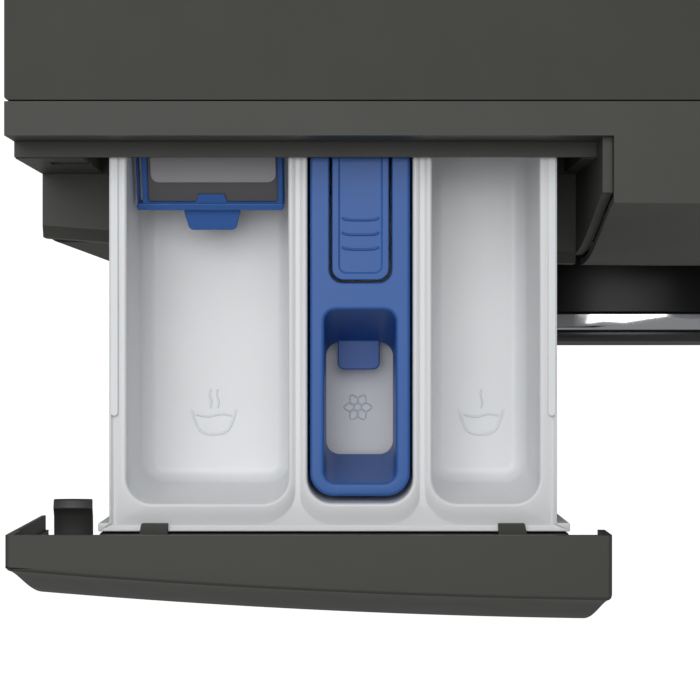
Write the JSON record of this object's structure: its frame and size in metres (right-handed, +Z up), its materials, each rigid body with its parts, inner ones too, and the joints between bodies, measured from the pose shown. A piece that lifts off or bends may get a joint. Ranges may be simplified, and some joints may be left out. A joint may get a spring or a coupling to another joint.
{
  "type": "front load washing machine",
  "caption": "Free-standing front loading washing machine with a round porthole door, a bowed console and a detergent drawer with three bays pulled out.",
  "frame": {"origin": "on the floor, under the middle of the whole box with the drawer pulled out", "axes": "+Z up, +X to the machine's right as seen from the front, -Y out of the front"},
  "size_m": [0.598, 0.753, 0.85],
  "materials": {
    "graphite_steel": "satin painted sheet steel, dark graphite grey",
    "graphite_plastic": "satin moulded plastic, dark graphite grey",
    "zinc_steel": "galvanised sheet steel",
    "black_gloss": "polished black plastic",
    "black_plastic": "black moulded plastic",
    "foot_rubber": "black rubber on a steel stud",
    "hose_rubber": "black rubber hose",
    "gasket_rubber": "grey door seal rubber",
    "belt_rubber": "ribbed black belt",
    "white_plastic": "satin white moulded plastic",
    "grey_plastic": "grey moulded plastic",
    "blue_plastic": "blue moulded plastic",
    "smoke_window": "frosted grey clear plastic",
    "bowl_glass": "clear pressed glass",
    "chrome_trim": "polished chrome",
    "bezel_plastic": "dark grey plastic with a soft gloss",
    "drum_steel": "stainless steel",
    "cast_aluminium": "cast aluminium",
    "concrete": "cast concrete",
    "board": "green circuit board"
  },
  "bodies": {
    "cabinet": {"top_panel": "graphite_steel", "left_side_panel": "graphite_steel", "right_side_panel": "graphite_steel", "rear_panel": "zinc_steel", "rear_service_cover": "zinc_steel", "base_pan": "zinc_steel", "front_panel": "graphite_steel", "front_crossbar": "zinc_steel", "console": "graphite_plastic", "display_window": "black_gloss", "dispenser_housing": "white_plastic", "inlet_valve": "white_plastic", "valve_hoses": "hose_rubber", "fill_hose": "hose_rubber", "control_board": "board", "door_hinge": "zinc_steel", "door_lock": "white_plastic", "door_gasket": "gasket_rubber", "tub_front": "grey_plastic", "tub_rear": "grey_plastic", "front_counterweight": "concrete", "top_counterweight": "concrete", "suspension_springs": "drum_steel", "dampers": "black_plastic", "drum_bearings": "drum_steel", "heater": "drum_steel", "motor": "cast_aluminium", "drive_belt": "belt_rubber", "drain_pump": "grey_plastic", "sump_hose": "hose_rubber", "drain_outlet": "grey_plastic", "cord_gland": "black_plastic", "feet": "foot_rubber", "foot_nuts": "zinc_steel", "rear_screws": "zinc_steel"},
    "drawer": {"drawer_tray": "white_plastic", "drawer_front": "graphite_plastic", "drawer_latch": "black_plastic", "softener_insert": "blue_plastic"},
    "tongue": {"release_tongue": "blue_plastic"},
    "flap": {"detergent_flap": "blue_plastic", "flap_window": "smoke_window"},
    "door": {"door_frame": "grey_plastic", "door_bowl": "bowl_glass", "door_ring": "black_gloss", "door_trim": "chrome_trim", "door_bezel": "bezel_plastic"},
    "hook": {"door_hook": "drum_steel"},
    "drum": {"drum_shell": "drum_steel", "drum_back": "cast_aluminium", "drum_lifters": "white_plastic", "drum_pulley": "cast_aluminium"},
    "motor_wheel": {"motor_pulley": "cast_aluminium"},
    "knob": {"program_knob": "chrome_trim"},
    "power": {"power_button": "chrome_trim"},
    "start": {"start_button": "chrome_trim"},
    "temperature": {"temperature_button": "chrome_trim"},
    "spin": {"spin_button": "chrome_trim"},
    "hatch": {"filter_hatch": "graphite_plastic"},
    "filter": {"pump_filter": "white_plastic"}
  },
  "joints": [
    {"name": "drawer_slide", "type": "slide", "parent": "cabinet", "child": "drawer", "axis": [0, 1, 0], "range_m": [0, 0.1627]},
    {"name": "tongue_press", "type": "hinge", "parent": "drawer", "child": "tongue", "pos_m": [-0.15335, -0.1541, 0.8178], "axis": [1, 0, 0], "range_deg": [0, 4], "stiffness_Nm_per_rad": 0.5},
    {"name": "flap_hinge", "type": "hinge", "parent": "drawer", "child": "flap", "pos_m": [-0.21815, -0.149, 0.812], "axis": [1, 0, 0], "range_deg": [-20, 34]},
    {"name": "door_swing", "type": "hinge", "parent": "cabinet", "child": "door", "pos_m": [-0.246, -0.216, 0.43], "axis": [0, 0, 1], "range_deg": [-125, 0]},
    {"name": "hook_turn", "type": "hinge", "parent": "door", "child": "hook", "pos_m": [0.18, -0.2025, 0.43], "axis": [0, 0, 1], "range_deg": [-8, 0], "stiffness_Nm_per_rad": 0.4},
    {"name": "drum_spin", "type": "hinge", "parent": "cabinet", "child": "drum", "pos_m": [0, -0.119, 0.43], "axis": [0, 1, 0], "continuous": true},
    {"name": "motor_spin", "type": "hinge", "parent": "cabinet", "child": "motor_wheel", "pos_m": [0.072, 0.306, 0.116], "axis": [0, 1, 0], "continuous": true},
    {"name": "hatch_drop", "type": "hinge", "parent": "cabinet", "child": "hatch", "pos_m": [0.22, -0.201, 0.0535], "axis": [1, 0, 0], "range_deg": [0, 95]},
    {"name": "filter_turn", "type": "hinge", "parent": "cabinet", "child": "filter", "pos_m": [0.22, -0.194, 0.098], "axis": [0, 1, 0], "range_deg": [0, 170]},
    {"name": "knob_turn", "type": "hinge", "parent": "cabinet", "child": "knob", "pos_m": [0.05018, -0.20649, 0.795], "axis": [0.0136, -0.97, 0.2425], "continuous": true},
    {"name": "power_press", "type": "slide", "parent": "cabinet", "child": "power", "axis": [-0.0572, 0.9685, -0.2425], "range_m": [0, 0.0015], "stiffness_N_per_m": 500},
    {"name": "temperature_press", "type": "slide", "parent": "cabinet", "child": "temperature", "axis": [-0.0635, 0.9681, -0.2425], "range_m": [0, 0.0015], "stiffness_N_per_m": 500},
    {"name": "spin_press", "type": "slide", "parent": "cabinet", "child": "spin", "axis": [-0.0697, 0.9676, -0.2425], "range_m": [0, 0.0015], "stiffness_N_per_m": 500},
    {"name": "start_press", "type": "slide", "parent": "cabinet", "child": "start", "axis": [-0.076, 0.9672, -0.2425], "range_m": [0, 0.0015], "stiffness_N_per_m": 500}
  ],
  "couplings": [
    {"joint": "motor_spin", "follows": "drum_spin", "ratio": 11.667}
  ]
}
